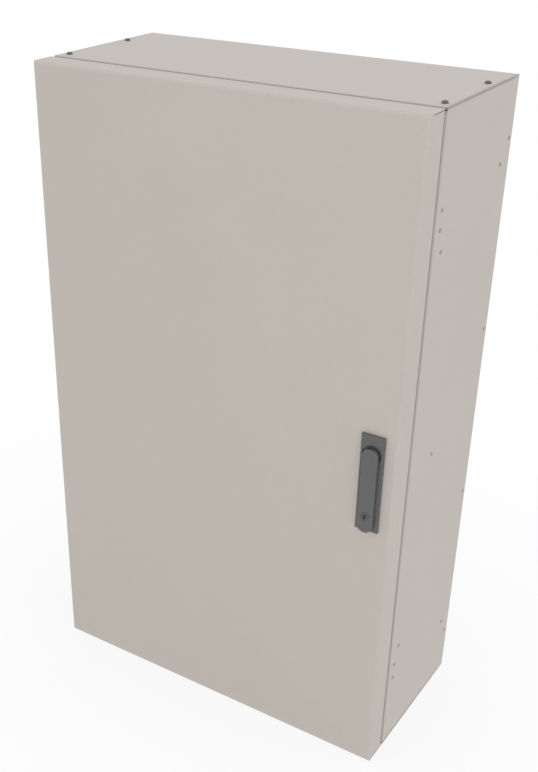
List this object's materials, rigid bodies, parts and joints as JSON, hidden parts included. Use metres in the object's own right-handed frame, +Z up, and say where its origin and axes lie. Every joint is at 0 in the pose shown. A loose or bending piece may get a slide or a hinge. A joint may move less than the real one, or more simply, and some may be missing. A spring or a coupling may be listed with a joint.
{
  "type": "wall-mount rack cabinet",
  "caption": "Tall shallow wall-mount rack cabinet in pale warm-grey paint, with a full-size door on the left-hand hinges, a dark swing handle and 19-inch rails inside.",
  "frame": {"origin": "centre of the four wall-fixing holes, on the rear panel's outer face", "axes": "+Z up the cabinet's height, +Y into the wall so that the door faces -Y, +X to the right seen from the front"},
  "size_m": [0.6018, 0.2981, 1.003],
  "materials": {
    "grey_paint": "fine satin powder coat",
    "dark_screws": "dark coated steel",
    "handle_grey": "dark grey powder-coated die casting",
    "galvanised": "galvanised sheet",
    "zinc": "zinc plated",
    "foam_seal": "soft black foam",
    "black_nylon": "moulded nylon"
  },
  "bodies": {
    "cabinet": {"side_panel_left": "grey_paint", "side_panel_right": "grey_paint", "top_panel": "grey_paint", "bottom_panel": "grey_paint", "rear_panel": "grey_paint", "gland_plate": "grey_paint", "gland_screws": "zinc", "top_screws": "dark_screws", "bottom_screws": "zinc", "rear_screws": "grey_paint", "depth_rail_upper_left": "galvanised", "depth_rail_upper_right": "galvanised", "depth_rail_lower_left": "galvanised", "depth_rail_lower_right": "galvanised", "rack_rail_left": "galvanised", "rack_rail_right": "galvanised", "rail_bolts": "zinc", "depth_rail_screws": "grey_paint", "hinge_hole_plugs": "grey_paint", "side_plugs": "grey_paint", "hinge_bracket_upper": "zinc", "hinge_bracket_lower": "zinc", "hinge_screws": "grey_paint", "rod_keeper_upper": "zinc", "rod_keeper_lower": "zinc", "earth_stud": "zinc"},
    "door": {"door_shell": "grey_paint", "door_seal": "foam_seal", "door_stiffener": "grey_paint", "door_leaf_upper": "zinc", "door_leaf_lower": "zinc", "hinge_pin_upper": "zinc", "hinge_pin_lower": "zinc", "handle_plate": "handle_grey", "handle_screws": "zinc", "gear_case": "galvanised", "gear_case_screws": "zinc", "rod_guide_upper": "black_nylon", "rod_guide_lower": "black_nylon", "door_earth_stud": "zinc"},
    "spindle": {"spindle": "handle_grey", "pinion": "galvanised", "spindle_circlip": "zinc"},
    "lever": {"handle_lever": "handle_grey", "lever_pin": "zinc", "lock_barrel": "zinc"},
    "key": {"key_plug": "zinc"},
    "upper_rod": {"upper_rod": "galvanised"},
    "lower_rod": {"lower_rod": "galvanised"}
  },
  "joints": [
    {"name": "door_swing", "type": "hinge", "parent": "cabinet", "child": "door", "pos_m": [-0.292, -0.255, 0], "axis": [0, 0, -1], "range_deg": [0, 120]},
    {"name": "handle_turn", "type": "hinge", "parent": "door", "child": "spindle", "pos_m": [0.264, -0.285, 0.046], "axis": [0, 1, 0], "range_deg": [0, 90]},
    {"name": "lever_lift", "type": "hinge", "parent": "spindle", "child": "lever", "pos_m": [0.264, -0.293, 0.052], "axis": [-1, 0, 0], "range_deg": [0, 35]},
    {"name": "key_turn", "type": "hinge", "parent": "lever", "child": "key", "pos_m": [0.264, -0.2975, -0.048], "axis": [0, 1, 0], "range_deg": [0, 90]},
    {"name": "upper_rod_slide", "type": "slide", "parent": "door", "child": "upper_rod", "axis": [0, 0, 1], "range_m": [0, 0.01885]},
    {"name": "lower_rod_slide", "type": "slide", "parent": "door", "child": "lower_rod", "axis": [0, 0, -1], "range_m": [0, 0.01885]}
  ],
  "couplings": [
    {"joint": "upper_rod_slide", "follows": "handle_turn", "m_per_rad": 0.012},
    {"joint": "lower_rod_slide", "follows": "handle_turn", "m_per_rad": 0.012}
  ]
}
